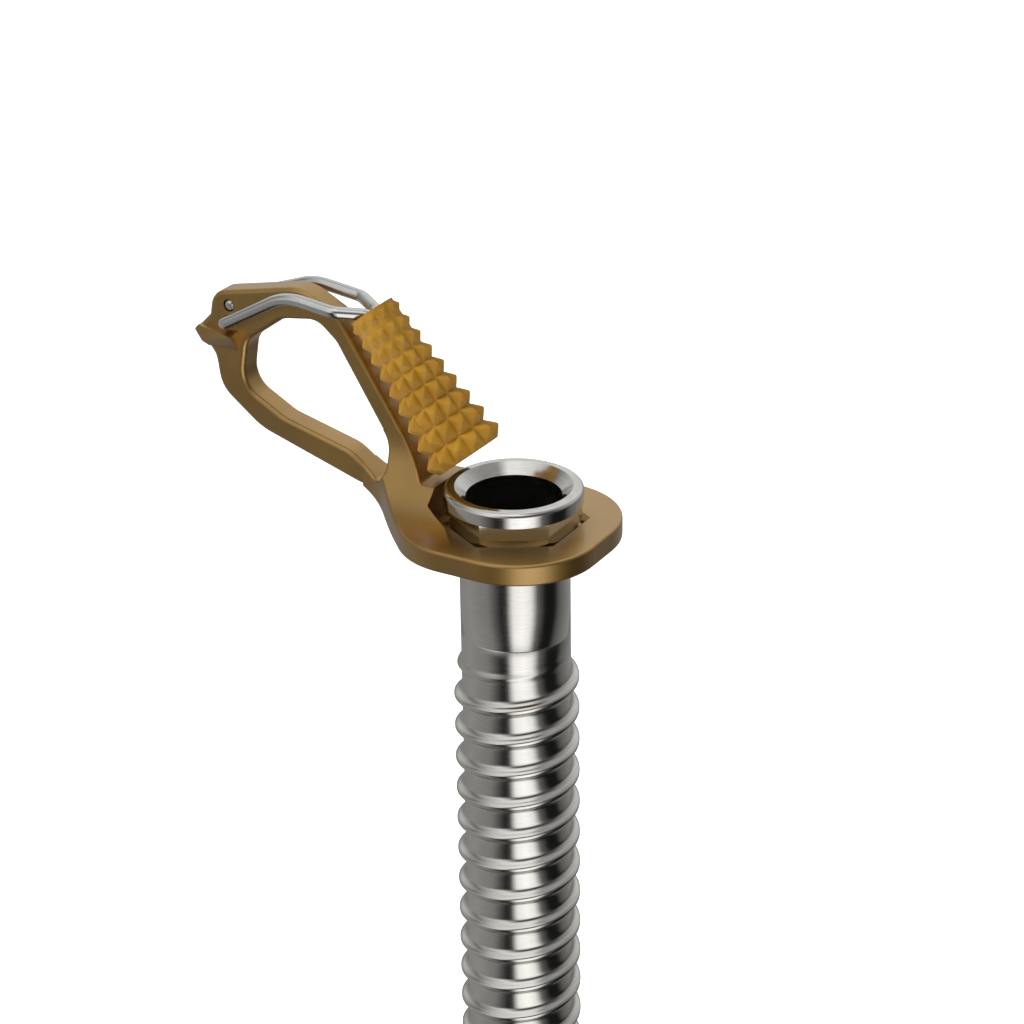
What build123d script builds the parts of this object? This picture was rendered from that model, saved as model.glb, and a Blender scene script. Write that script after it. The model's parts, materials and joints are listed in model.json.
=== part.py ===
from build123d import *
import os
from math import cos, pi, radians, sin, sqrt, tan

# Ice screw with a folding crank.
# Frame: +Z up the tube axis towards the head, z = 0 on the underside of the hanger,
# the eye of the hanger reaches to -X, and Y runs across the thickness of the eye.

# ---------------------------------------------------------------- driving dimensions, mm
tube_od = 16.0              # outside of the tube
tube_bore = 13.8            # bore, open from the head to the teeth
tube_reach = 160.0          # hanger underside to the points of the teeth
spigot_od = 14.9            # reduced top of the tube, through the hanger into the head
spigot_into_head = 3.0      # how far the spigot goes into the head collar
spigot_lead = 0.3           # chamfer on its top
neck_length = 17.0          # smooth tube between the hanger and the thread
thread_pitch = 5.3          # one start, right hand
thread_height = 1.2         # crest above the tube
thread_round = 1.0          # radius of the rounded ridge
thread_fade = 4.0           # axial length over which the ridge rises from nothing
tooth_count = 4
tooth_depth = 7.0           # length of a cutting tooth
tooth_land = 0.5            # flat left on the point of a tooth
tooth_taper = 3.0           # outside cone behind the points
tooth_tip = 0.35            # wall left at the points

plate_t = 3.2               # base plate thickness
plate_half_w = 14.8         # half width of the base plate
plate_end = 14.4            # from the tube axis to the rounded end
plate_corner_r = 12.0
plate_taper_x = -9.0        # where the 45 degree taper would start without its corner
plate_blend_r = 8.0         # where the taper runs into the side of the eye
plate_edge = 0.45           # broken edge round the plate

eye_t = 4.0                 # thickness of the eye
eye_edge = 0.7              # rounding of the eye's edges
root_r = 10.5               # concave fillet from the faces of the eye to the plate
shoulder_z = 7.3            # top of the shoulder behind the head
shoulder_x = -13.1          # where the shoulder meets the upper arm
fan_r = 8.0                 # concave foot of the shoulder, towards the head
pocket_gap = 0.7            # between the head's ring and its hexagonal pocket
recess_depth = 1.0          # hexagonal seat sunk in the plate
recess_edge = 0.9           # broken edge of that seat
tube_seat_depth = 1.0       # counterbore under the plate that takes the tube's shoulder

head_hex_af = 16.8          # across the flats of the head collar
head_top = 8.45             # top of the head above the hanger's underside
head_ring_over = 1.6        # the round ring stands out this far past the flats
head_ring_under = 6.2       # underside of the round ring
head_undercut = 0.6         # cone under the ring
head_round = 0.8            # round outer edge of the top
head_mouth_r = 8.45         # inner edge of the flat top

ledge_out = 2.1             # stop ledge, out from the front face of the eye
ledge_z = 23.8              # its front edge
ledge_h = 2.9
ledge_end = 1.7             # its wide end, past the pivot

pivot_x = -46.9             # crank pivot in the tip of the eye
pivot_z = 25.4
tail_dx = 0.3               # second hole, from the pivot
tail_dz = 2.5
wire_d = 1.8
leg_gap = 0.85              # between each wire leg and the face of the eye
bend_r = 1.2                # inside the tight bends of the wire
crown_x = -35.2             # top of the wire's arch, before its rounding
crown_z = 31.9
crown_r = 9.0
knee_x = -27.1              # where the legs turn in towards the knob
knee_z = 30.9
knee_r = 2.2
leg_entry = 0.3             # the legs turn down the knob's axis here
entry_r = 1.8
leg_pair_y = 1.0            # each leg inside the knob

knob_x = -23.0              # middle of the knob's wire end
knob_z = 30.6
knob_angle = -50.9          # its axis, from +X
knob_length = 24.8
knob_r_small = 3.95         # over the points, wire end
knob_r_large = 6.4          # over the points, far end
knob_flare = 1.5            # 1 makes a straight taper, more makes a trumpet
knob_rows = 9
knob_columns = 12
knob_growth = 1.035         # each row is this much longer than the last
pyramid_slope = 0.36        # depth of a groove against the width of a column
pyramid_flat = 0.3          # width left on a point
groove_over = 0.8           # how far the groove's cutter stands out past the points
knob_mouth_flare = 1.1      # the opening for the legs widens this much at the wire end
knob_mouth_depth = 1.6

core_d = 5.8                # metal core the sleeve turns on
core_start = 10.0           # from the wire end of the knob
core_end = 22.6
leg_depth = 16.0            # closed end of the wire, inside the core
cap_d = 8.0                 # plug that closes the sleeve
cap_t = 1.6

# ---------------------------------------------------------------- fits, mm
seat_clearance = 0.02       # spigot in the hanger and in the head, radial
tube_seat_clearance = 0.05  # tube in its counterbore, radial
hex_clearance = 0.08        # head hexagon in its seat, on each flat
pivot_clearance = 0.05      # wire end in its hole, radial
sleeve_clearance = 0.06     # sleeve on the core, radial
slot_clearance = 0.03       # wire in the core
face_gap = 0.3              # between parts that pass each other
shoulder_gap = 0.03         # tube shoulder under its seat in the hanger
spigot_gap = 0.05           # top of the spigot in the head
end_gap = 0.15              # end play of the sleeve

# ---------------------------------------------------------------- derived sizes
root_top = plate_t + root_r - 0.3    # just under the upper end of the concave roots
root_end = -24.3                     # the lower arm has the eye's own thickness beyond this
tube_r = tube_od / 2
bore_r = tube_bore / 2
spigot_r = spigot_od / 2
wire_r = wire_d / 2
seat_z = plate_t - recess_depth
spigot_top = seat_z + spigot_into_head - spigot_gap
shoulder_top = tube_seat_depth - shoulder_gap
eye_half = eye_t / 2
crest_r = tube_r + thread_height
hex_apothem = head_hex_af / 2
head_ring_r = hex_apothem + head_ring_over
pocket_apothem = head_ring_r + pocket_gap
ledge_y = eye_half + ledge_out
leg_y = eye_half + leg_gap + wire_r
thread_top = -neck_length
thread_bottom = -tube_reach + tooth_depth + tooth_taper

os.makedirs("parts", exist_ok=True)


# ---------------------------------------------------------------- screw tube
def fade_profile(top, bottom):
    """Half section of the solid that trims the ridge to a long lead at both ends."""
    return [
        (0, top + 0.01),
        (tube_r - 0.02, top + 0.01),
        (crest_r + 0.4, top - thread_fade),
        (crest_r + 0.4, bottom + thread_fade),
        (tube_r - 0.02, bottom - 0.01),
        (0, bottom - 0.01),
    ]


ridge_turns = (thread_top - thread_bottom) / thread_pitch
with BuildPart() as ridge:
    with BuildLine() as ridge_path:
        Helix(
            pitch=thread_pitch,
            height=ridge_turns * thread_pitch,
            radius=crest_r - thread_round,
            center=(0, 0, thread_bottom),
        )
    with BuildSketch(Plane(origin=ridge_path.line @ 0, z_dir=ridge_path.line % 0)):
        Circle(thread_round)
    sweep(is_frenet=True)

with BuildPart() as ridge_envelope:
    with BuildSketch(Plane.XZ):
        with BuildLine():
            Polyline(*fade_profile(thread_top, thread_bottom), close=True)
        make_face()
    revolve(axis=Axis.Z)

with BuildPart() as screw_tube:
    with BuildSketch(Plane.XZ):
        with BuildLine():
            Polyline(
                (bore_r, -tube_reach),
                (bore_r + tooth_tip, -tube_reach),
                (tube_r, -tube_reach + tooth_taper),
                (tube_r, shoulder_top),
                (spigot_r, shoulder_top),
                (spigot_r, spigot_top - spigot_lead),
                (spigot_r - spigot_lead, spigot_top),
                (bore_r, spigot_top),
                close=True,
            )
        make_face()
    revolve(axis=Axis.Z)
    add(ridge.part & ridge_envelope.part)
    # keep the bore open where the ridge reaches through the wall
    with Locations((0, 0, -tube_reach / 2)):
        Cylinder(bore_r, tube_reach + 1, mode=Mode.SUBTRACT)
    # saw teeth, cutting faces towards the turning direction
    half_step = tube_r * sin(radians(180 / tooth_count))
    for index in range(tooth_count):
        turn = 360 / tooth_count * (index + 0.5)
        face = Plane(
            origin=(0, 0, -tube_reach),
            x_dir=(-sin(radians(turn)), cos(radians(turn)), 0),
            z_dir=(cos(radians(turn)), sin(radians(turn)), 0),
        )
        with BuildSketch(face):
            with BuildLine():
                Polyline(
                    (-half_step + tooth_land, -0.1),
                    (half_step - 1.0, tooth_depth),
                    (half_step, tooth_depth),
                    (half_step, -0.1),
                    close=True,
                )
            make_face()
        extrude(amount=tube_r + 2, mode=Mode.SUBTRACT)
screw_tube.part.label = "screw_tube"

# ---------------------------------------------------------------- head collar
with BuildPart() as head_collar:
    with BuildSketch(Plane.XY.offset(seat_z)):
        RegularPolygon(hex_apothem, 6, major_radius=False, rotation=30)
    extrude(amount=head_ring_under - seat_z)
    with BuildSketch(Plane.XZ):
        with BuildLine():
            Polyline(
                (0, head_ring_under - head_undercut),
                (hex_apothem + head_undercut, head_ring_under - head_undercut),
                (head_ring_r, head_ring_under),
                (head_ring_r, head_top),
                (0, head_top),
                close=True,
            )
        make_face()
    revolve(axis=Axis.Z)
    rim = head_collar.edges().filter_by(GeomType.CIRCLE).group_by(Axis.Z)[-1]
    fillet(rim, head_round)
    # foot of the hexagon, turned to a cone so that the corners enter the seat
    with BuildSketch(Plane.XZ):
        with BuildLine():
            Polyline(
                (hex_apothem + 0.05, seat_z),
                (hex_apothem * 1.3, seat_z),
                (hex_apothem * 1.3, seat_z + hex_apothem * 0.25),
                close=True,
            )
        make_face()
    revolve(axis=Axis.Z, mode=Mode.SUBTRACT)
    # bore, counterbore for the tube and the wide inside chamfer
    with BuildSketch(Plane.XZ):
        with BuildLine():
            Polyline(
                (0, seat_z - 0.1),
                (spigot_r + seat_clearance, seat_z - 0.1),
                (spigot_r + seat_clearance, seat_z + spigot_into_head),
                (bore_r, seat_z + spigot_into_head),
                (bore_r, head_top - head_mouth_r + bore_r),
                (head_mouth_r, head_top),
                (head_mouth_r, head_top + 0.1),
                (0, head_top + 0.1),
                close=True,
            )
        make_face()
    revolve(axis=Axis.Z, mode=Mode.SUBTRACT)
head_collar.part.label = "head_collar"

# ---------------------------------------------------------------- hanger
# Side view of the hanger: each corner is (x, z, rounding).
side_corners = [
    (plate_end, 0, 0),
    (-17.5, 0, 14),
    (-25.4, 4.2, 10),
    (-42.2, 9.4, 10),
    (-49.0, 14.6, 5),
    (pivot_x - 2.8, pivot_z - 5.6, 3),
    (pivot_x - 6.1, pivot_z - 2.2, 0.3),
    (pivot_x - 3.4, pivot_z + 0.5, 0.6),
    (pivot_x - 2.7, pivot_z + 4.2, 3.2),
    (-34.0, 32.9, 7),
    (-27.6, 29.6, 4),
    (-15.9, 11.5, 6),
    (shoulder_x, shoulder_z, 1.0),
    (-9.9, shoulder_z, 0),
]
# Clip-in eye, the same way round.
eye_corners = [
    (-21.2, 5.2, 0.9),
    (-19.3, 7.6, 1.5),
    (-19.6, 11.6, 6),
    (-28.2, 25.6, 3.5),
    (-31.4, 28.3, 3.5),
    (-37.4, 27.4, 4),
    (-43.9, 22.8, 3),
    (-45.1, 15.8, 4),
    (-38.0, 11.9, 6),
    (-26.6, 9.0, 6),
]
# Upper surface of the plate and of the lower arm, where it is wider than the eye.
band_corners = [
    (plate_end + 1, plate_t, 0),
    (-16.5, plate_t, 8),
    (-23.0, 7.4, 3),
    (-29.0, 10.5, 0),
    (-29.0, -1.0, 0),
    (plate_end + 1, -1.0, 0),
]


def rounded(corners):
    """Closed outline from corners (a, b, rounding), made as one wire."""
    count = len(corners)
    pieces = []
    ends = []
    for index in range(count):
        here = Vector(*corners[index][:2])
        before = Vector(*corners[index - 1][:2])
        after = Vector(*corners[(index + 1) % count][:2])
        radius = corners[index][2]
        back = (before - here).normalized()
        ahead = (after - here).normalized()
        if radius <= 0:
            ends.append((here, here, None))
            continue
        half = radians(back.get_angle(ahead)) / 2
        start = here + back * (radius / tan(half))
        stop = here + ahead * (radius / tan(half))
        middle_dir = (back + ahead).normalized()
        middle = here + middle_dir * (radius / sin(half) - radius)
        ends.append((start, stop, middle))
    for index in range(count):
        start, stop, middle = ends[index]
        if middle is not None:
            pieces.append(ThreePointArc(start, middle, stop))
        next_start = ends[(index + 1) % count][0]
        if (next_start - stop).length > 1e-6:
            pieces.append(Line(stop, next_start))
    return pieces


def fan_curve():
    """Concave foot from the shoulder down to the plate, tangent to the plate."""
    centre_x = -3.0
    rise = shoulder_z - plate_t
    reach = sqrt(fan_r**2 - (fan_r - rise) ** 2)
    middle_rise = fan_r - sqrt(fan_r**2 - (reach / 2) ** 2)
    return (
        (centre_x - reach, shoulder_z),
        (centre_x - reach / 2, plate_t + middle_rise),
        (centre_x, plate_t),
    )


fan_start, fan_middle, fan_end = fan_curve()

with BuildPart() as side_body:
    with BuildSketch(Plane.XZ):
        with BuildLine():
            outline = rounded(side_corners[:-1] + [(fan_start[0], shoulder_z, 0)] + [
                (fan_end[0], plate_t, 0),
                (plate_end, plate_t, 0),
            ])
        make_face()
        with BuildLine(mode=Mode.PRIVATE) as foot:
            ThreePointArc(fan_start, fan_middle, fan_end)
            Line(fan_end, fan_start)
        make_face(foot.line.edges(), mode=Mode.SUBTRACT)
    extrude(amount=plate_half_w + 1, both=True)

with BuildPart() as plan_body:
    with BuildSketch(Plane.XY.offset(-1)):
        with BuildLine():
            rounded([
                (plate_end, -plate_half_w, plate_corner_r),
                (plate_end, plate_half_w, plate_corner_r),
                (plate_taper_x, plate_half_w, plate_corner_r),
                (plate_taper_x - plate_half_w + eye_half, eye_half, plate_blend_r),
                (pivot_x - 10, eye_half, 0),
                (pivot_x - 10, -eye_half, 0),
                (plate_taper_x - plate_half_w + eye_half, -eye_half, plate_blend_r),
                (plate_taper_x, -plate_half_w, plate_corner_r),
            ])
        make_face()
    extrude(amount=45)

with BuildPart() as band_body:
    with BuildSketch(Plane.XZ):
        with BuildLine():
            rounded(band_corners)
        make_face()
    extrude(amount=plate_half_w + 2, both=True)

# Section of the upright eye with its two concave roots.
with BuildPart() as flare_body:
    with BuildSketch(Plane.YZ.offset(pivot_x - 10)):
        with BuildLine():
            top = 40.0
            knee = root_r * (1 - cos(radians(45)))
            Line((-eye_half - root_r, plate_t), (eye_half + root_r, plate_t))
            ThreePointArc(
                (eye_half + root_r, plate_t),
                (eye_half + knee, plate_t + knee),
                (eye_half, plate_t + root_r),
            )
            Line((eye_half, plate_t + root_r), (eye_half, top))
            Line((eye_half, top), (-eye_half, top))
            Line((-eye_half, top), (-eye_half, plate_t + root_r))
            ThreePointArc(
                (-eye_half, plate_t + root_r),
                (-eye_half - knee, plate_t + knee),
                (-eye_half - root_r, plate_t),
            )
        make_face()
    extrude(amount=-pivot_x + 10)
    # below the roots the eye keeps its plain thickness
    with Locations((pivot_x / 2 - 5, 0, plate_t / 2)):
        Box(-pivot_x + 10, eye_t, plate_t + 0.02)

# Stop ledge on the front face of the tip: a wedge that widens away from the beak. The rear
# face has none, because the rear end of the wire sits higher and passes there.
with BuildPart() as ledge_body:
    with BuildSketch(Plane.YZ.offset(pivot_x - 7)):
        with BuildLine():
            Polyline(
                (-ledge_y, ledge_z),
                (-eye_half, ledge_z + 0.3),
                (0, ledge_z + 0.3),
                (0, ledge_z - ledge_h),
                (-eye_half + 0.1, ledge_z - ledge_h),
                close=True,
            )
        make_face()
    extrude(amount=7 + ledge_end)
    with BuildSketch(Plane.XY.offset(ledge_z - ledge_h - 1)):
        with BuildLine():
            Polyline(
                (pivot_x - 6.5, -eye_half),
                (pivot_x + ledge_end, -ledge_y),
                (pivot_x + ledge_end, 0),
                (pivot_x - 6.5, 0),
                close=True,
            )
        make_face()
    extrude(amount=ledge_h + 2, mode=Mode.INTERSECT)

# Upright eye: one flat plate with rounded edges.
with BuildPart() as eye_plate:
    with BuildSketch(Plane.XZ):
        with BuildLine():
            rounded([
                (-17.0, 2.5, 0),
                *side_corners[2:-1],
                (-pocket_apothem - 0.5, shoulder_z, 0),
                (-pocket_apothem - 0.5, 2.5, 0),
            ])
        make_face()
        with BuildLine():
            rounded(eye_corners)
        make_face(mode=Mode.SUBTRACT)
    extrude(amount=eye_half, both=True)
    fillet(eye_plate.faces().filter_by(Axis.Y).edges(), eye_edge)

# Base plate, shoulder and the concave roots, up to where the eye is plain.
with BuildPart() as root:
    add(side_body.part & plan_body.part & (band_body.part + flare_body.part))
    with BuildSketch(Plane.XZ):
        with BuildLine():
            rounded(eye_corners)
        make_face()
    extrude(amount=plate_half_w, both=True, mode=Mode.SUBTRACT)
    with BuildSketch(Plane.XZ):
        with BuildLine():
            Polyline(
                (root_end, -1),
                (root_end, root_top),
                (plate_end + 1, root_top),
                (plate_end + 1, -1),
                close=True,
            )
        make_face()
    extrude(amount=plate_half_w + 1, both=True, mode=Mode.INTERSECT)

    def curved(edge):
        return edge.geom_type != GeomType.LINE

    off_middle = root.edges().filter_by(lambda e: abs(e.center().Y) > eye_half - 0.1)
    rim_low = off_middle.filter_by(lambda e: e.center().Z < 0.01)
    rim_front = root.edges().filter_by(
        lambda e: abs(e.center().X - plate_end) < 0.01 and abs(e.center().Y) < 0.01
    )
    rim_rise = off_middle.filter_by(curved).filter_by(
        lambda e: root_end < e.center().X < -14 and 0.01 < e.center().Z < 0.2 - (e.center().X + 14) * 0.36
    )
    rim_top = off_middle.filter_by(
        lambda e: abs(e.center().Z - plate_t) < 0.01
        and (abs(e.center().Y) > plate_half_w - 2.2 or e.center().X > plate_end - 5)
    )
    arm = off_middle.filter_by(curved).filter_by(
        lambda e: -17 < e.center().X < -12.9 and e.center().Z > shoulder_z + 0.05
    )
    fillet(rim_low + rim_front + rim_rise + rim_top + arm, plate_edge)
    eye_low = root.edges().filter_by(curved).filter_by(
        lambda e: root_end + 0.1 < e.center().X < -19.9 and 5 < e.center().Z < 7.3
        and abs(e.center().Y) > eye_half - 0.1 and e.length > 0.3
    )
    fillet(eye_low, plate_edge)

with BuildPart() as hanger:
    add(root.part)
    add(eye_plate.part)
    add(ledge_body.part & side_body.part)
    # pocket that clears the head
    with BuildSketch(Plane.XY.offset(plate_t)):
        RegularPolygon(pocket_apothem, 6, major_radius=False, rotation=30)
    extrude(amount=30, mode=Mode.SUBTRACT)
    # hexagonal seat with a wide broken edge
    with BuildSketch(Plane.XY.offset(seat_z)):
        RegularPolygon(hex_apothem + hex_clearance, 6, major_radius=False, rotation=30)
    extrude(amount=recess_depth, mode=Mode.SUBTRACT)
    seat_rim = hanger.edges().filter_by(
        lambda e: abs(e.center().Z - plate_t) < 0.01
        and abs(Vector(e.center().X, e.center().Y).length - hex_apothem - hex_clearance) < 0.01
    )
    chamfer(seat_rim, recess_edge)
    # hole for the tube
    with Locations((0, 0, plate_t / 2)):
        Cylinder(spigot_r + seat_clearance, plate_t + 1, mode=Mode.SUBTRACT)
    with Locations((0, 0, (tube_seat_depth - 1) / 2)):
        Cylinder(tube_r + tube_seat_clearance, tube_seat_depth + 1, mode=Mode.SUBTRACT)
    # pivot hole and tail hole
    for x, z in ((pivot_x, pivot_z), (pivot_x + tail_dx, pivot_z + tail_dz)):
        with Locations(Location((x, 0, z), (90, 0, 0))):
            Cylinder(wire_r + pivot_clearance, eye_t + 1, mode=Mode.SUBTRACT)
hanger.part.label = "hanger"

# ---------------------------------------------------------------- tail of the wire
tail_x = pivot_x + tail_dx
tail_z = pivot_z + tail_dz
with BuildPart() as wire_tail:
    with Locations(Location((tail_x, 0, tail_z), (90, 0, 0))):
        Cylinder(wire_r, eye_t + 0.2)
    fillet(wire_tail.edges().filter_by(GeomType.CIRCLE).group_by(Axis.Y)[0], wire_r * 0.7)
wire_tail.part.label = "wire_tail"

# ---------------------------------------------------------------- crank wire
axis_dir = Vector(cos(radians(knob_angle)), 0, sin(radians(knob_angle)))
knob_base = Vector(knob_x, 0, knob_z)


def along(distance, side=0.0):
    """Point at a distance down the knob's axis, with a sideways step along Y."""
    return knob_base + axis_dir * distance + Vector(0, side, 0)


def wire_leg(side, start):
    """Route of one leg from its pivot end, over the arch and the knee, into the knob."""
    return FilletPolyline(
        *start,
        Vector(crown_x, side * leg_y, crown_z),
        Vector(knee_x, side * leg_y, knee_z),
        along(leg_entry, side * leg_pair_y),
        along(leg_depth, side * leg_pair_y),
        radius=[bend_r, crown_r, knee_r, entry_r],
    )


front_start = [Vector(pivot_x, eye_half + 0.2, pivot_z), Vector(pivot_x, -leg_y, pivot_z)]
rear_start = [Vector(tail_x, eye_half + face_gap, tail_z), Vector(tail_x, leg_y, tail_z)]

with BuildPart() as crank_wire:
    for side, start in ((-1, front_start), (1, rear_start)):
        with BuildLine() as route:
            wire_leg(side, start)
        with BuildSketch(Plane(origin=route.line @ 0, z_dir=route.line % 0)):
            Circle(wire_r)
        sweep(path=route.line)
    # closed end that joins the two legs
    with BuildLine() as turn:
        ThreePointArc(
            along(leg_depth, -leg_pair_y),
            along(leg_depth + leg_pair_y),
            along(leg_depth, leg_pair_y),
        )
    with BuildSketch(Plane(origin=turn.line @ 0, z_dir=turn.line % 0)):
        Circle(wire_r)
    sweep(path=turn.line)
crank_wire.part.label = "crank_wire"

# ---------------------------------------------------------------- knob
profile_plane = Plane(origin=knob_base, x_dir=(0, 1, 0), z_dir=axis_dir.cross(Vector(0, 1, 0)))
outward = 1 if profile_plane.y_dir.dot(axis_dir) > 0 else -1
core_r = core_d / 2
cap_r = cap_d / 2
mouth_bore_r = leg_pair_y + wire_r + face_gap


def knob_radius(s):
    """Radius over the points at the share s of the knob's length."""
    return knob_r_small + (knob_r_large - knob_r_small) * s**knob_flare


row_sizes = [knob_growth**index for index in range(knob_rows)]
row_scale = knob_length / sum(row_sizes)
row_ends = [0.0]
for size in row_sizes:
    row_ends.append(row_ends[-1] + size * row_scale)


def groove_depth(distance):
    """Depth of the grooves there: a share of a column's width."""
    radius = knob_radius(min(max(distance / knob_length, 0), 1))
    return pyramid_slope * 2 * pi * radius / knob_columns


def knob_profile():
    """Zigzag outline of the rings, from the wire end to the far end."""
    points = [(knob_radius(0) - groove_depth(0) * 0.6, 0.0)]
    for index in range(knob_rows):
        low = row_ends[index]
        high = row_ends[index + 1]
        middle = (low + high) / 2
        points.append((knob_radius(middle / knob_length), middle))
        if index < knob_rows - 1:
            points.append((knob_radius(high / knob_length) - groove_depth(high), high))
    points.append((knob_radius(1) - groove_depth(knob_length) * 0.5, knob_length))
    return points


# One lengthwise groove, wider and deeper towards the far end.
groove_sections = []
for share in (-0.02, 0.25, 0.5, 0.75, 1.02):
    distance = share * knob_length
    radius = knob_radius(max(share, 0))
    depth = groove_depth(distance)
    side_slope = (pi * radius / knob_columns - pyramid_flat / 2) / depth
    top = radius + groove_over
    half_width = side_slope * (depth + groove_over)
    with BuildSketch(Plane(origin=along(distance), x_dir=(0, 1, 0), z_dir=axis_dir)) as section:
        with BuildLine():
            Polyline((radius - depth, 0), (top, half_width), (top, -half_width), close=True)
        make_face()
    groove_sections.append(section.sketch.faces()[0])
groove = Solid.make_loft([face.outer_wire() for face in groove_sections], ruled=True)

with BuildPart() as knob_sleeve:
    with BuildSketch(profile_plane):
        with BuildLine():
            Polyline(
                (0, 0),
                *[(r, outward * t) for r, t in knob_profile()],
                (0, outward * knob_length),
                close=True,
            )
        make_face()
    revolve(axis=Axis(knob_base, axis_dir))
    for column in range(knob_columns):
        turned = groove.rotate(Axis(knob_base, axis_dir), 360 / knob_columns * (column + 0.5))
        add(turned, mode=Mode.SUBTRACT)
    # stepped bore: mouth, passage for the legs, seat for the core, seat for the cap
    with BuildSketch(profile_plane):
        with BuildLine():
            Polyline(
                (0, -outward * 0.1),
                (mouth_bore_r + knob_mouth_flare, -outward * 0.1),
                (mouth_bore_r, outward * knob_mouth_depth),
                (mouth_bore_r, outward * (core_start - end_gap)),
                (core_r + sleeve_clearance, outward * (core_start - end_gap)),
                (core_r + sleeve_clearance, outward * (knob_length - cap_t)),
                (cap_r, outward * (knob_length - cap_t)),
                (cap_r, outward * (knob_length + 0.1)),
                (0, outward * (knob_length + 0.1)),
                close=True,
            )
        make_face()
    revolve(axis=Axis(knob_base, axis_dir), mode=Mode.SUBTRACT)
knob_sleeve.part.label = "knob_sleeve"

core_plane = Plane(origin=along(core_start), x_dir=(0, 1, 0), z_dir=axis_dir)
with BuildPart() as knob_core:
    with BuildSketch(core_plane):
        Circle(core_r)
    extrude(amount=core_end - core_start)
    chamfer(knob_core.edges().filter_by(GeomType.CIRCLE), 0.3)
    # socket for the closed end of the wire
    with BuildSketch(core_plane.offset(-0.1)):
        SlotCenterToCenter(2 * leg_pair_y, 2 * (wire_r + slot_clearance))
    extrude(amount=leg_depth + leg_pair_y + wire_r + 0.3 - core_start, mode=Mode.SUBTRACT)
knob_core.part.label = "knob_core"

with BuildPart() as knob_cap:
    with BuildSketch(Plane(origin=along(knob_length - cap_t), x_dir=(0, 1, 0), z_dir=axis_dir)):
        Circle(cap_r - seat_clearance)
    extrude(amount=cap_t - 0.2)
    cap_rim = knob_cap.edges().filter_by(GeomType.CIRCLE).sort_by(Axis(knob_base, axis_dir))[-1]
    chamfer(cap_rim, 0.3)
knob_cap.part.label = "knob_cap"

# ---------------------------------------------------------------- pieces out
for piece in (
    screw_tube, head_collar, hanger, wire_tail, crank_wire, knob_core, knob_sleeve, knob_cap,
):
    export_step(piece.part, f"parts/{piece.part.label}.step")
    print(piece.part.label, len(piece.part.solids()), round(piece.part.volume, 1))
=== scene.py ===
# %% [markdown]
# # An ice screw with a folding crank
# An ice screw is a steel tube with a thread outside and teeth at its lower end. A climber
# winds it into ice and clips a karabiner through the eye of its hanger. A bent wire with a
# plastic grip folds out of the hanger and works as a crank.
#
# The frame below brings in every piece at its real size and place, in metres. We keep the
# box round all of it, because nothing that we add may make the object larger.

# %% Load the frame
import json
import math

import bmesh
import bpy
import numpy as np
from mathutils import Matrix, Vector


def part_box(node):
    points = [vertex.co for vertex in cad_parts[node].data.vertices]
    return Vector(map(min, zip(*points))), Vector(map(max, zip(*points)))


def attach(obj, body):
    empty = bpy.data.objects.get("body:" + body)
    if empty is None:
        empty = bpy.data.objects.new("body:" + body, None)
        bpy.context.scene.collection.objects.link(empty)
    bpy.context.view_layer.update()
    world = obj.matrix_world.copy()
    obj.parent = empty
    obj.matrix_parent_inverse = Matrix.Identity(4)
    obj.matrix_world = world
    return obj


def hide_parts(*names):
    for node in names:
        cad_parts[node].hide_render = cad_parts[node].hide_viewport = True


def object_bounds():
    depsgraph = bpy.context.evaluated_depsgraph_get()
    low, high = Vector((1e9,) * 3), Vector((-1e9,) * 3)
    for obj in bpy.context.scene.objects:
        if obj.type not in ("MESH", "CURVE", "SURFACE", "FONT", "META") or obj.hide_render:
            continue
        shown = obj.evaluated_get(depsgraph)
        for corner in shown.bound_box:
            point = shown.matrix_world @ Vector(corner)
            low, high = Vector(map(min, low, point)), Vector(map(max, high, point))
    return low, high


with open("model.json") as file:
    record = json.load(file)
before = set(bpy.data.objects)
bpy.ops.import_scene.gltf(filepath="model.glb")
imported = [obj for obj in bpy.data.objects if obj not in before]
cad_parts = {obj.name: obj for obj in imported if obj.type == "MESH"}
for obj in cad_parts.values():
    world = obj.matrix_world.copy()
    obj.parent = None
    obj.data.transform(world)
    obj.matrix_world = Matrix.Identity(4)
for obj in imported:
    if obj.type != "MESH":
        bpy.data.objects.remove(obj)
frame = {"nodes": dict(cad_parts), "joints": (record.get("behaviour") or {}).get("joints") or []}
nodes = frame["nodes"]
cad_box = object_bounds()
MM = 0.001
for name in sorted(nodes):
    low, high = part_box(name)
    print(f"{name:13s}", "size in mm", [round((high[i] - low[i]) / MM, 1) for i in range(3)])

# %% [markdown]
# ## Shader maths as expressions
# A material is a small network of nodes. Drawn by hand it is easy to follow, but built in
# code it soon turns into pages of links. So one small class wraps a node's output and gives
# it the usual signs: writing `0.3 + 0.1 * grain` adds the two Math nodes that it stands for.
# Everything that isn't arithmetic comes from one method, `node`.


# %% The wrapper for one output
class Signal:
    """A node's output in an expression. Each sign adds the Math node of its operation."""

    def __init__(self, finish, socket):
        self.finish = finish
        self.socket = socket

    def math(self, operation, first, second):
        return self.finish.node("ShaderNodeMath", {"operation": operation}, {0: first, 1: second})

    def __add__(self, other):
        return self.math("ADD", self, other)

    def __radd__(self, other):
        return self.math("ADD", other, self)

    def __rsub__(self, other):
        return self.math("SUBTRACT", other, self)

    def __mul__(self, other):
        return self.math("MULTIPLY", self, other)

    def __rmul__(self, other):
        return self.math("MULTIPLY", other, self)


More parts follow.
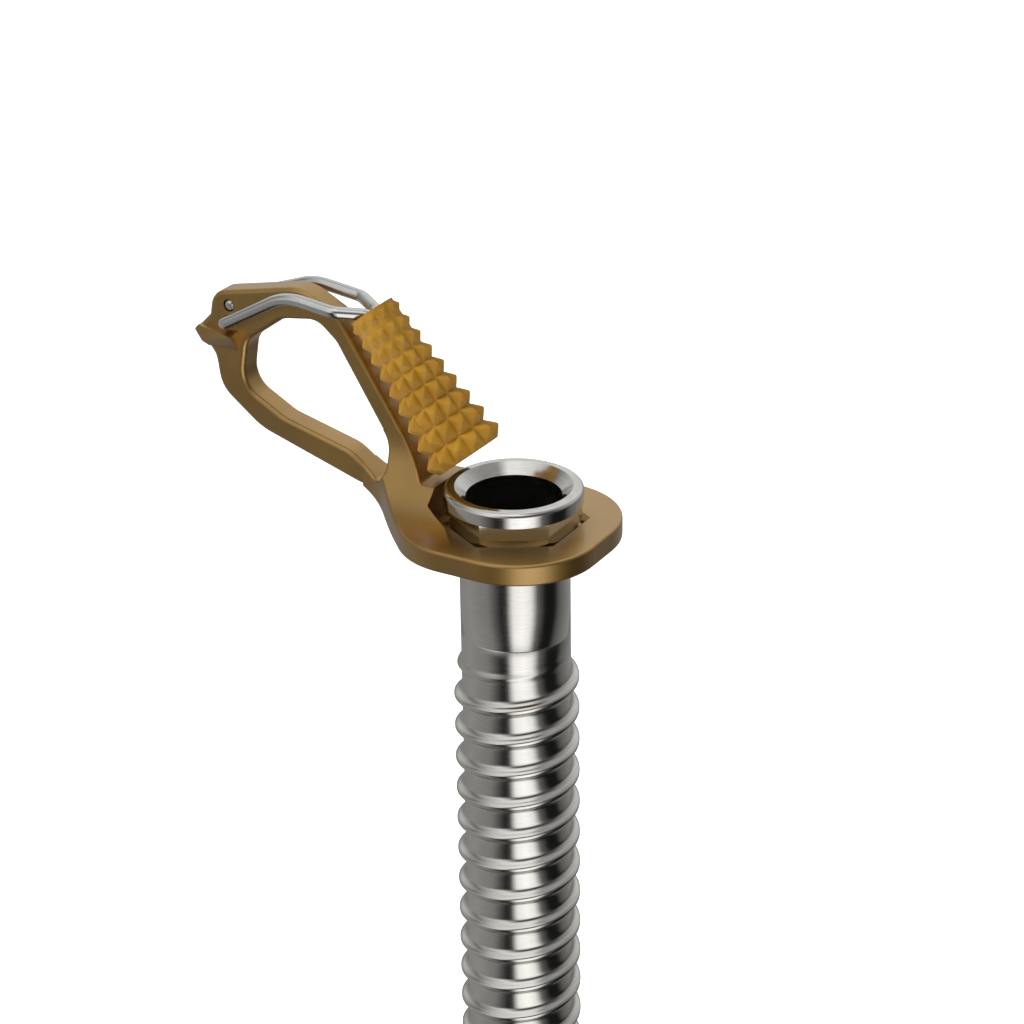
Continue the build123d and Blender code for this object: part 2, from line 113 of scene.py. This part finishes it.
# %% The builder of one material
class Finish:
    """A material, or a world, that is being built round its one shader."""

    def __init__(self, owner, shader="Principled BSDF"):
        owner.use_nodes = True
        self.material = owner
        self.tree = owner.node_tree
        self.shader = self.tree.nodes[shader]

    def node(self, kind, settings=None, inputs=None, output=0):
        """Adds a node: its settings first, then the values or links of its inputs."""
        made = self.tree.nodes.new(kind)
        for key, value in (settings or {}).items():
            if key == "stops":
                while len(made.color_ramp.elements) < len(value):
                    made.color_ramp.elements.new(0.5)
                for stop, (place, grey) in zip(made.color_ramp.elements, value):
                    stop.position = place
                    stop.color = (grey, grey, grey, 1.0)
            else:
                setattr(made, key, value)
        for key, value in (inputs or {}).items():
            self.feed(made.inputs[key], value)
        return Signal(self, made.outputs[output])

    def feed(self, socket, value):
        """Sets an input to a plain value, or links a signal to it."""
        if isinstance(value, Signal):
            self.tree.links.new(value.socket, socket)
        else:
            socket.default_value = value

    def shade(self, **inputs):
        """Feeds the shader's own inputs; base_color stands for Base Color."""
        for key, value in inputs.items():
            label = key.replace("_", " ").title().replace("Ior", "IOR")
            self.feed(self.shader.inputs[label], value)

    def place(self, stretch=(1, 1, 1)):
        """Object coordinates, stretched along each axis."""
        coordinates = self.node("ShaderNodeTexCoord", output="Object")
        return self.node("ShaderNodeMapping", None, {"Vector": coordinates, "Scale": stretch})

    def noise(self, where, scale, detail=2.0, roughness=0.5):
        """Smooth random values from 0 to 1; scale is in features per metre."""
        inputs = {"Vector": where, "Scale": scale, "Detail": detail, "Roughness": roughness}
        return self.node("ShaderNodeTexNoise", None, inputs)

    def blend(self, share, first, second):
        """A colour between two others, where share is 0 for the first and 1 for the second.
        Inputs 0, 6 and 7 and output 2 are the Mix node's share, its two colours and its result."""
        settings = {"data_type": "RGBA", "clamp_factor": True}
        return self.node("ShaderNodeMix", settings, {0: share, 6: first, 7: second}, output=2)

    def band(self, signal, low, high):
        """0 where the signal is below low, 1 above high, and a straight ramp between."""
        inputs = {"Value": signal, "From Min": low, "From Max": high}
        return self.node("ShaderNodeMapRange", {"clamp": True}, inputs)

    def bump(self, height, depth):
        """A normal that leans as a relief of that depth, in metres, would make it lean."""
        return self.node("ShaderNodeBump", None, {"Height": height, "Distance": depth, "Strength": 1.0})


def rgb(red, green, blue):
    """A colour from the usual 0-255 values, as the linear light that shaders work in."""
    share = np.array([red, green, blue]) / 255
    linear = np.where(share <= 0.04045, share / 12.92, ((share + 0.055) / 1.055) ** 2.4)
    return (*[float(x) for x in linear], 1.0)


print("mustard in linear light:", [round(x, 3) for x in rgb(185, 140, 45)[:3]])

# %% [markdown]
# ## Turned steel
# The tube was turned on a lathe, which leaves rings a few hundredths of a millimetre apart.
# They are too fine to see one by one, but they smear a reflection along the tube, and that
# is why the tube shows long upright stripes of light. We stretch a noise so that it is even
# round the tube and quick along it, and let it move the roughness and a very shallow relief.


# %% Turned and drawn steel
def steel(name, light, dark, rough, stretch, mark, relief):
    """Bright steel with marks that run across the longest side of stretch."""
    finish = Finish(bpy.data.materials.new(name))
    marks = finish.noise(finish.place(stretch), mark, detail=3.0)
    cloud = finish.noise(finish.place(), 120.0, detail=2.0)
    finish.shade(
        base_color=finish.blend(finish.band(marks * 0.6 + cloud * 0.4, 0.35, 0.65), dark, light),
        metallic=1.0,
        roughness=rough + 0.05 * finish.band(marks, 0.35, 0.7) + 0.03 * cloud,
        normal=finish.bump(marks, relief),
    )
    return finish.material


tube_steel = steel("turned_steel", light=rgb(222, 220, 214), dark=rgb(206, 204, 198),
                   rough=0.13, stretch=(1, 1, 26), mark=420.0, relief=0.0000012)
head_steel = steel("polished_steel", light=rgb(226, 225, 220), dark=rgb(210, 209, 204),
                   rough=0.10, stretch=(1, 1, 14), mark=500.0, relief=0.000001)
wire_steel = steel("drawn_wire", light=rgb(222, 222, 220), dark=rgb(208, 208, 206),
                   rough=0.12, stretch=(6, 40, 6), mark=300.0, relief=0.000001)
core_steel = steel("core_steel", light=rgb(190, 190, 188), dark=rgb(160, 160, 158),
                   rough=0.30, stretch=(20, 1, 20), mark=300.0, relief=0.000003)
print("steels made:", tube_steel.name, head_steel.name, wire_steel.name, core_steel.name)

# %% [markdown]
# ## Anodised aluminium
# The hanger is milled, tumbled until its edges are soft, blasted with fine beads and dyed
# bronze. The dye sits in a clear, hard skin, so light meets a thin coat first and coloured
# metal below. Blasting leaves a fine even grain, and the dye takes a little unevenly.

# %% Bronze-gold anodising


def anodised(name):
    """Dyed aluminium: fine blasted grain, faint clouds in the dye."""
    finish = Finish(bpy.data.materials.new(name))
    here = finish.place()
    grain = finish.noise(here, 5200.0, detail=2.0, roughness=0.6)
    cloud = finish.noise(here, 90.0, detail=3.0)
    finish.shade(
        base_color=finish.blend(finish.band(cloud, 0.3, 0.7), rgb(174, 136, 68), rgb(192, 152, 80)),
        metallic=1.0,
        roughness=0.38 + 0.08 * grain + 0.04 * cloud,
        normal=finish.bump(grain, 0.000004),
        coat_weight=0.80,
        coat_roughness=0.22,
        coat_ior=1.6,
    )
    return finish.material


hanger_gold = anodised("bronze_anodised")
print("made", hanger_gold.name)

# %% [markdown]
# ## Moulded plastic
# The grip is a hard, dull plastic. A spark-eroded mould gives it a fine texture. A dull
# plastic has no sharp highlight, so the roughness is high and only varies a little.

# %% Mustard plastic


def moulded(name, pale, deep):
    """Dull plastic with the fine texture of its mould."""
    finish = Finish(bpy.data.materials.new(name))
    here = finish.place()
    grain = finish.noise(here, 3600.0, detail=2.0, roughness=0.6)
    cloud = finish.noise(here, 260.0, detail=2.0)
    finish.shade(
        base_color=finish.blend(finish.band(cloud * 0.7 + grain * 0.3, 0.3, 0.7), deep, pale),
        roughness=0.52 + 0.10 * grain,
        normal=finish.bump(grain, 0.000012),
    )
    return finish.material


knob_plastic = moulded("mustard_plastic", rgb(172, 128, 34), rgb(152, 108, 24))
cap_plastic = moulded("cap_plastic", rgb(168, 122, 28), rgb(150, 106, 20))
print("made", knob_plastic.name, cap_plastic.name)

# %% [markdown]
# ## From grids of points to meshes
# Every new piece here is a closed band of rings: ring after ring of points is carried round
# a loop, and the last ring meets the first. Numpy works out all the points at once as an
# array, and one function turns any such array into a mesh. Points that fall on each other
# are merged, and edges sharper than an angle are marked, so that smooth faces look smooth
# and corners stay crisp.


# %% Mesh from points and faces
def solid(name, points, quads, material, crisp=34):
    """A closed mesh from an (n, 3) array of points in metres and an (m, 4) array of corners."""
    mesh = bpy.data.meshes.new(name)
    mesh.from_pydata(points.tolist(), [], quads.tolist())
    work = bmesh.new()
    work.from_mesh(mesh)
    bmesh.ops.remove_doubles(work, verts=work.verts, dist=2e-7)
    bmesh.ops.dissolve_degenerate(work, edges=work.edges, dist=1e-7)
    bmesh.ops.recalc_face_normals(work, faces=work.faces)
    open_edges = sum(1 for edge in work.edges if not edge.is_manifold)
    work.to_mesh(mesh)
    work.free()
    mesh.shade_smooth()
    mesh.set_sharp_from_angle(angle=math.radians(crisp))
    piece = bpy.data.objects.new(name, mesh)
    bpy.context.scene.collection.objects.link(piece)
    mesh.materials.append(material)
    print(name, len(mesh.vertices), "points,", len(mesh.polygons), "faces,", open_edges, "open edges")
    return piece


def band_quads(rows, columns, closed_rows, shift=0):
    """Corners of the squares between neighbouring rows and columns of a grid that closes
    round its columns. With a shift, the last column meets the first that many rows up."""
    last = rows if closed_rows else rows - 1
    row, column = np.meshgrid(np.arange(last), np.arange(columns), indexing="ij")
    step = np.where(column == columns - 1, shift, 0)
    right = (column + 1) % columns
    low, high = row, row + 1
    if closed_rows:
        high = high % rows
        low_right, high_right = low, high
    else:
        low_right = np.minimum(low + step, rows - 1)
        high_right = np.minimum(high + step, rows - 1)
    corners = (low * columns + column, low_right * columns + right,
               high_right * columns + right, high * columns + column)
    return np.stack(corners, -1).reshape(-1, 4)


# %% [markdown]
# ## The threaded tube
# A thread is a ridge that climbs one pitch in each turn. If the rows of the grid ran level
# round the tube, the ridge would cut across them and look torn. So the rows climb with the
# ridge, and the last column of a row meets the first column of the row one turn higher.
# Rows that would climb past the ends of the thread are held level there and merge into one.

# %% Sizes of the tube
tube_low, tube_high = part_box("screw_tube")
crest_r = tube_high.y
thread_height = 1.2 * MM
tube_r = crest_r - thread_height
bore_r = 6.9 * MM
spigot_r = 7.45 * MM
pitch = 5.3 * MM
neck = 17.0 * MM
tooth_depth = 7.0 * MM
tooth_taper = 3.0 * MM
tooth_tip = 0.35 * MM
tooth_count = 4
thread_top = -neck
thread_foot = tube_low.z + tooth_depth + tooth_taper
ridge_half = 0.66 * MM
fade = 5.0 * MM
columns = 128
turn = np.arange(columns) / columns * 2 * np.pi
print("tube from", round(tube_low.z / MM, 1), "to", round(tube_high.z / MM, 1), "mm")


# %% The climbing part
def smooth(t):
    """0 below 0, 1 above 1 and an S-curve between."""
    t = np.clip(t, 0, 1)
    return t * t * (3 - 2 * t)


def ridge_rise(z, angle):
    """Height of the ridge over the tube: full at the helix, half of it ridge_half away and
    nothing further out, by 1 / (1 + (distance / ridge_half)^4), and faded in at both ends."""
    off = z - thread_foot - pitch * angle / (2 * np.pi)
    off = np.abs(off - pitch * np.round(off / pitch)) / ridge_half
    ends = smooth((thread_top - z) / fade) * smooth((z - thread_foot) / fade)
    return thread_height * ends / (1 + off**4)


turns = int(np.ceil((thread_top - thread_foot) / pitch)) + 2
rows_in_pitch = 18
gathering = 0.11
share = np.arange(rows_in_pitch) / rows_in_pitch - 0.5
gather = share - gathering * np.sin(2 * np.pi * share)
start = (np.arange(-1, turns)[:, None] + gather[None, :]).reshape(-1) * pitch + thread_foot
height = np.clip(start[:, None] + pitch * turn / (2 * np.pi), thread_foot, thread_top)
radius = tube_r + ridge_rise(height, turn)
climb = np.stack([radius * np.cos(turn), radius * np.sin(turn), height], -1).reshape(-1, 3)
climb_quads = band_quads(len(start), columns, False, shift=rows_in_pitch)
print("rows that climb:", len(start), "in", turns + 1, "turns")

# %% [markdown]
# ## Both ends of the tube
# The teeth are the tube's own lower edge, cut like a saw: it climbs slowly and drops at
# once, four times round. So each ring near the end isn't level. It lies at a share of the
# way from the thread's foot to that edge. The same rings then turn inside, go up the bore
# and come back over the narrow top that sits in the head.

# %% Rings of both ends
tooth_flat = 0.05
tooth_climb = 0.85
share_of_tooth = (turn / (2 * np.pi) * tooth_count) % 1
edge = tube_low.z + tooth_depth * np.clip((share_of_tooth - tooth_flat) / tooth_climb, 0, 1)


def outside(z):
    """Outer radius near the teeth: the tube's own, then a cone down to the points."""
    depth = np.clip((tube_low.z + tooth_taper - z) / tooth_taper, 0, 1)
    return tube_r - (tube_r - bore_r - tooth_tip) * depth


tooth_rings = 15
inner_step = 5
tooth_z = thread_foot + (edge - thread_foot) * np.linspace(0, 1, tooth_rings)[:, None]
inner_z = tooth_z[::-inner_step]
top = tube_high.z
spigot_edge = 0.3 * MM
shoulder = 0.97 * MM
shoulder_edge = 0.15 * MM
collar_r = tube_r + 0.12 * MM
groove_r = tube_r - 0.06 * MM
bore_rings = [(bore_r, thread_foot), (bore_r, -110 * MM), (bore_r, -60 * MM), (bore_r, -20 * MM)]
spigot_rings = [(bore_r, top), (spigot_r - spigot_edge, top), (spigot_r, top - spigot_edge)]
shoulder_rings = [(spigot_r, shoulder), (tube_r - shoulder_edge, shoulder),
                  (tube_r, shoulder - shoulder_edge)]
collar_rings = [(tube_r, -0.05 * MM), (collar_r, -0.15 * MM), (collar_r, -2.75 * MM), (tube_r, -2.9 * MM)]
neck_rings = [(tube_r, -8 * MM), (tube_r, -14.1 * MM), (groove_r, -14.2 * MM), (tube_r, -14.3 * MM),
              (tube_r, thread_top)]
level_r, level_z = np.array(bore_rings + spigot_rings + shoulder_rings + collar_rings + neck_rings).T
level = np.ones(columns)
ring_r = np.concatenate([outside(tooth_z), np.full_like(inner_z, bore_r), level_r[:, None] * level])
ring_z = np.concatenate([tooth_z, inner_z, level_z[:, None] * level])
end_points = np.stack([ring_r * np.cos(turn), ring_r * np.sin(turn), ring_z], -1).reshape(-1, 3)
ends_quads = band_quads(len(ring_r), columns, False)
points = np.concatenate([climb, end_points])
quads = np.concatenate([climb_quads, ends_quads + len(climb)])
threaded_tube = solid("threaded_tube", points, quads, tube_steel)
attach(threaded_tube, "screw")
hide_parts("screw_tube")

# %% [markdown]
# ## The grip
# The grip is a cone that swells towards its far end, covered in small pyramids. On the
# mould, rings of V grooves cross lengthwise V grooves. In numbers, each pyramid is a cell,
# and the depth below its point grows with the larger of the two distances from its middle.
# A soft maximum in place of a hard one rounds the ridges between the faces, and a small
# square root does the same to the points.

# %% Where the grip lies
spin = next(joint for joint in frame["joints"] if joint["name"] == "knob_spin")
knob_foot = np.array(spin["pos_m"])
knob_axis = np.array(spin["axis"])
knob_axis = knob_axis / np.linalg.norm(knob_axis)
knob_side = np.array([0.0, 1.0, 0.0])
knob_up = np.cross(knob_axis, knob_side)
knob_length = 24.8 * MM
knob_small = 3.95 * MM
knob_large = 6.4 * MM
knob_flare = 1.5
knob_rows = 9
knob_columns = 12
knob_growth = 1.035
mouth_r = 2.2 * MM
mouth_wide = 3.3 * MM
groove_slope = 0.46
point_round = 0.06
mouth_wall = 0.15 * MM
cap_bore_r = 4.0 * MM
cap_seat = 1.6 * MM
core_bore_r = 2.96 * MM
core_shoulder = 9.85 * MM
mouth_depth = 1.6 * MM
cells = 12
print("grip axis", knob_axis.round(3), "from", (knob_foot / MM).round(1))


# %% Pyramids on the grip
def knob_radius(s):
    """Radius over the points at the share s of the length: small + swell * s ** flare."""
    return knob_small + (knob_large - knob_small) * np.clip(s, 0, 1) ** knob_flare


row_ends = np.concatenate([[0], np.cumsum(knob_growth ** np.arange(knob_rows))])
row_ends = row_ends / row_ends[-1] * knob_length
across = np.linspace(-1, 1, cells + 1)
along_cell = np.tile(across[:-1], knob_rows)
middle = (row_ends[:-1] + row_ends[1:]) / 2
half = np.diff(row_ends) / 2
distance = np.repeat(middle, cells) + np.repeat(half, cells) * along_cell
distance = np.append(distance, knob_length)
along_cell = np.append(along_cell, 1.0)
knob_turn = (np.arange(knob_columns * cells) / cells) * 2 * np.pi / knob_columns
round_cell = np.tile(across[:-1], knob_columns)
first_groove = np.pi / knob_columns


def soft_larger(a, b, power=14.0):
    """A maximum that is rounded where both are equal: (a^p + b^p) ^ (1/p)."""
    return (np.abs(a) ** power + np.abs(b) ** power) ** (1 / power)


far = soft_larger(along_cell[:, None], round_cell[None, :])
far = np.sqrt(np.minimum(far, 1) ** 2 + point_round**2) - point_round
over = knob_radius(distance / knob_length)[:, None]
depth = groove_slope * 2 * np.pi * over / knob_columns
skin_r = np.maximum(over - depth * far, mouth_wide + mouth_wall)
skin_s = np.repeat(distance[:, None], len(knob_turn), 1)
thin, thick = skin_r.min() / MM, skin_r.max() / MM
print("grip skin", skin_r.shape, "radius", thin.round(2), "to", thick.round(2), "mm")

# %% [markdown]
# The grip isn't solid. Its wire end has a flared mouth for the two legs of the wire, and
# behind a shoulder a wider bore turns on the metal core. The loop of rings closes through
# all of that, so that the piece is a real shell from every side.

# %% Inside of the grip
inner = [
    (cap_bore_r, knob_length), (cap_bore_r, knob_length - cap_seat), (core_bore_r, knob_length - cap_seat),
    (core_bore_r, core_shoulder), (mouth_r, core_shoulder), (mouth_r, mouth_depth), (mouth_wide, 0.0),
]
round_again = np.ones(len(knob_turn))
knob_r = np.concatenate([skin_r, [r * round_again for r, s in inner]])
knob_s = np.concatenate([skin_s, [s * round_again for r, s in inner]])
knob_angle = knob_turn + first_groove
sideways = np.cos(knob_angle)[:, None] * knob_side + np.sin(knob_angle)[:, None] * knob_up
knob_points = knob_foot + knob_s[..., None] * knob_axis + knob_r[..., None] * sideways
knob_quads = band_quads(len(knob_r), len(knob_turn), True)
grip = solid("pyramid_grip", knob_points.reshape(-1, 3), knob_quads, knob_plastic, crisp=28)
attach(grip, "knob")
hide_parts("knob_sleeve")

# %% [markdown]
# ## Finishes of the other pieces
# The hanger, the head, the wire, the core and the cap come from the frame with their right
# shapes, so each of them only gets its finish.

# %% Finishes on the frame's own pieces
finishes = {
    "hanger": hanger_gold,
    "head_collar": head_steel,
    "wire_tail": wire_steel,
    "crank_wire": wire_steel,
    "knob_core": core_steel,
    "knob_cap": cap_plastic,
}
for name, material in finishes.items():
    slots = nodes[name].data.materials
    for index in range(len(slots)):
        slots[index] = material
    print(name, "has", material.name, "on", len(slots), "slot")

# %% [markdown]
# ## Floor, light and camera
# The screw stands on its teeth on a pale floor. Bright metal shows what is round it more
# than it shows itself, so the light matters as much as the finish. Two soft boxes light the
# dull faces but stay out of reflections; the upright stripes come from the sky further down.

# %% Floor
floor_size = 6.0
floor_mesh = bpy.data.meshes.new("floor")
reach = floor_size / 2
floor_z = cad_box[0][2] - 0.2 * MM
floor_corners = [(x * reach, y * reach, floor_z) for x, y in ((-1, -1), (1, -1), (1, 1), (-1, 1))]
floor_mesh.from_pydata(floor_corners, [], [(0, 1, 2, 3)])
floor = bpy.data.objects.new("floor", floor_mesh)
bpy.context.scene.collection.objects.link(floor)
pale = Finish(bpy.data.materials.new("pale_floor"))
mottle = pale.noise(pale.place(), 8.0)
pale.shade(base_color=pale.blend(mottle, rgb(250, 250, 250), rgb(246, 246, 246)), roughness=0.9,
           emission_color=(1, 1, 1, 1), emission_strength=0.75)
floor_mesh.materials.append(pale.material)
floor.visible_glossy = False
print("floor at", round(floor_z / MM, 1), "mm")


# %% Soft boxes
def soft_box(name, azimuth, elevation, away, width, tall, power):
    """A soft box that faces the head. Azimuth 0 is towards -Y and grows towards +X."""
    turn_z, turn_up = math.radians(azimuth), math.radians(elevation)
    where = Vector((math.sin(turn_z) * math.cos(turn_up), -math.cos(turn_z) * math.cos(turn_up),
                    math.sin(turn_up))) * away
    light = bpy.data.lights.new(name, "AREA")
    light.shape = "RECTANGLE"
    light.size, light.size_y, light.energy = width, tall, power
    box = bpy.data.objects.new(name, light)
    box.visible_glossy = False
    facing = (-where).to_track_quat("-Z", "Y").to_matrix().to_4x4()
    box.matrix_world = Matrix.Translation(where) @ facing
    bpy.context.scene.collection.objects.link(box)


soft_box("key_box", azimuth=-50, elevation=50, away=0.9, width=0.35, tall=0.35, power=6.5)
soft_box("fill_box", azimuth=80, elevation=35, away=0.9, width=0.30, tall=0.50, power=1.6)
print("soft boxes placed")

# %% [markdown]
# ## What the metal mirrors
# From above, an upright tube mirrors what stands round it below eye level. In a studio that
# is a ring of white cards with black cloth between. Here the sky is that ring: its
# brightness changes with the compass direction, one way near the ground and another way
# overhead. Only reflections see it. What the camera sees behind the object is plain white,
# and dull surfaces are lit evenly.

# %% Studio sky


def ring_of_cards(sky, share, cards):
    """Brightness round the compass, from (degrees, brightness) pairs in rising order."""
    stops = [((degrees + 180) / 360, grey) for degrees, grey in cards]
    return sky.node("ShaderNodeValToRGB", {"stops": stops}, {"Fac": share})


world = bpy.data.worlds.new("studio")
bpy.context.scene.world = world
sky = Finish(world, "Background")
direction = sky.node("ShaderNodeTexCoord")
parts = sky.node("ShaderNodeSeparateXYZ", None, {"Vector": direction})
east, north, up = [Signal(sky, parts.socket.node.outputs[i]) for i in range(3)]
compass = 0.5 + east.math("ARCTAN2", east, 0 - north) * (0.5 / math.pi)
low_cards = ring_of_cards(sky, compass, [
    (-180, 0.30), (-130, 0.26), (-80, 0.34), (-30, 0.26), (-14, 0.12), (0, 0.02), (12, 0.03),
    (25, 1.25), (45, 1.45), (62, 1.20), (76, 0.14), (95, 0.01), (120, 0.01), (136, 0.14),
    (160, 0.24), (180, 0.30),
])
high_cards = ring_of_cards(sky, compass, [
    (-180, 0.80), (-120, 0.70), (-80, 0.20), (-40, 0.60), (-10, 0.95), (20, 0.12), (60, 0.06),
    (100, 0.10), (140, 0.45), (180, 0.80),
])
top_cards = ring_of_cards(sky, compass, [
    (-180, 0.95), (-110, 0.50), (-60, 0.75), (-10, 1.0), (15, 1.1), (50, 1.1), (80, 0.35),
    (140, 0.45), (180, 0.95),
])
overhead = sky.band(up, -0.12, 0.25)
zenith = sky.band(up, 0.62, 0.84)
nadir = sky.band(up, -0.97, -0.80)
cards = sky.blend(zenith, sky.blend(overhead, low_cards, high_cards), top_cards)
cards = sky.blend(nadir, (0.01, 0.01, 0.01, 1.0), cards)
ray = sky.node("ShaderNodeLightPath")
seen = Signal(sky, ray.socket.node.outputs["Is Camera Ray"])
mirrored = Signal(sky, ray.socket.node.outputs["Is Glossy Ray"])
light_grey = (0.34, 0.34, 0.34, 1.0)
sky.shade(color=sky.blend(seen, sky.blend(mirrored, light_grey, cards), (1, 1, 1, 1)), strength=1.0)
bpy.context.scene.view_settings.view_transform = "Standard"
print("cards near the ground and overhead, mirrored only")

# %% Camera
camera_data = bpy.data.cameras.new("camera")
camera_data.sensor_width = 36.0
camera_data.lens = 96.68
camera = bpy.data.objects.new("camera", camera_data)
across_view = Vector((0.86479, 0.50195, -0.01376))
up_view = Vector((-0.20139, 0.37181, 0.90620))
back_view = Vector((0.45999, -0.78090, 0.42262))
turned = Matrix((across_view, up_view, back_view)).transposed()
camera_place = Vector((0.17969, -0.30566, 0.16955))
camera.matrix_world = Matrix.Translation(camera_place) @ turned.to_4x4()
camera_data.clip_start = 0.01
bpy.context.scene.collection.objects.link(camera)
bpy.context.scene.camera = camera
print("camera", [round(x, 3) for x in camera.location])
